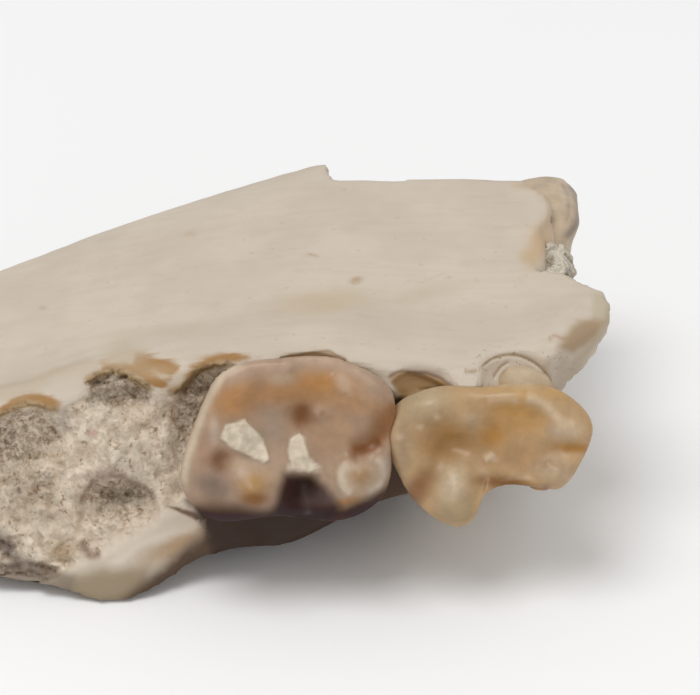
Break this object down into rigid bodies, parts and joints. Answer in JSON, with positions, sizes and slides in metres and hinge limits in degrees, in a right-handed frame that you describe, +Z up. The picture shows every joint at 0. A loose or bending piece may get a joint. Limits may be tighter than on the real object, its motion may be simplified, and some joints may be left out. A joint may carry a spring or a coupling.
{
  "type": "fossil ischyromys jaw section",
  "caption": "Broken fossil lower jaw section of a small rodent, lying on its outer face, with cheek teeth, a broken incisor and matrix-filled sockets.",
  "frame": {"origin": "centre of the object's bounding box, at the level of the surface it lies on", "axes": "+X along the jaw towards its front, +Y from the tooth row towards the lower border, +Z up, out of the inner face of the jaw"},
  "size_m": [0.0128, 0.0095, 0.0048],
  "materials": {
    "cream_bone": "dry cream fossil bone with tan stains",
    "lilac_enamel": "glossy brown and lilac tooth enamel",
    "amber_enamel": "glossy amber tooth enamel",
    "tan_dentine": "smooth tan-grey tooth surface",
    "grey_matrix": "rough grainy grey-brown sediment"
  },
  "bodies": {
    "root": {"jaw_bone": "cream_bone", "first_molar": "lilac_enamel", "fourth_premolar": "amber_enamel", "incisor": "tan_dentine", "canal_sediment": "grey_matrix", "sediment_front_inner_socket": "grey_matrix", "sediment_front_outer_socket": "grey_matrix", "sediment_rear_socket": "grey_matrix"}
  },
  "joints": []
}
